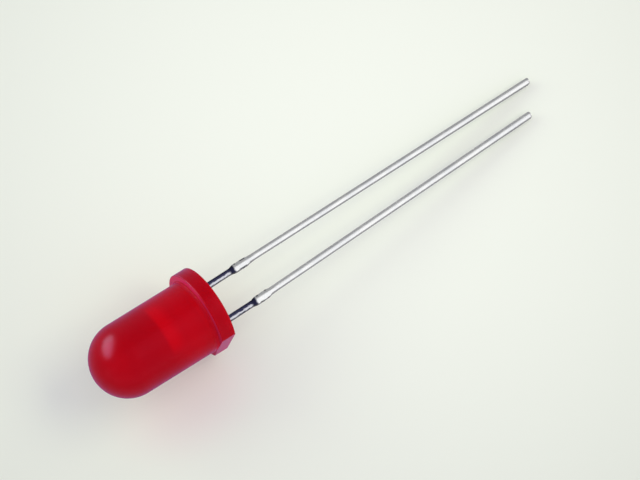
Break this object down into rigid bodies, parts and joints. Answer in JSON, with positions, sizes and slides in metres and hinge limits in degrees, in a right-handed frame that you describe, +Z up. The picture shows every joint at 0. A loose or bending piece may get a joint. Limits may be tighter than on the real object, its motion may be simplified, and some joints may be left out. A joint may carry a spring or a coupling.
{
  "type": "through hole led",
  "caption": "Round through hole LED with a diffused red domed lens, a flange with a polarity flat, and long tinned leads of unequal length.",
  "frame": {"origin": "middle of the flange's back face, on the lens axis, where the part seats on a circuit board", "axes": "+Z up, with the part lying as it rests on a flat surface: the dome points to -X, the leads run to +X and the cathode side with the flat is towards -Y. At rest the lens axis dips 10.06 degrees towards the lead tips and the part is rolled 3.86 degrees about it, cathode side down, because the cathode lead is shorter. Both leads rise 4.0 degrees out of the leadframe's plane from 0.35 mm below the flange"},
  "size_m": [0.0345, 0.0056, 0.0065],
  "materials": {
    "lens_epoxy": "gloss",
    "tinned_lead": "satin",
    "chip_crystal": "gloss",
    "silver_epoxy": "matte",
    "gold_wire": "polished"
  },
  "bodies": {
    "root": {"lens_body": "lens_epoxy", "anode_lead": "tinned_lead", "cathode_lead": "tinned_lead", "chip": "chip_crystal", "chip_attach": "silver_epoxy", "bond_wire": "gold_wire"}
  },
  "joints": []
}
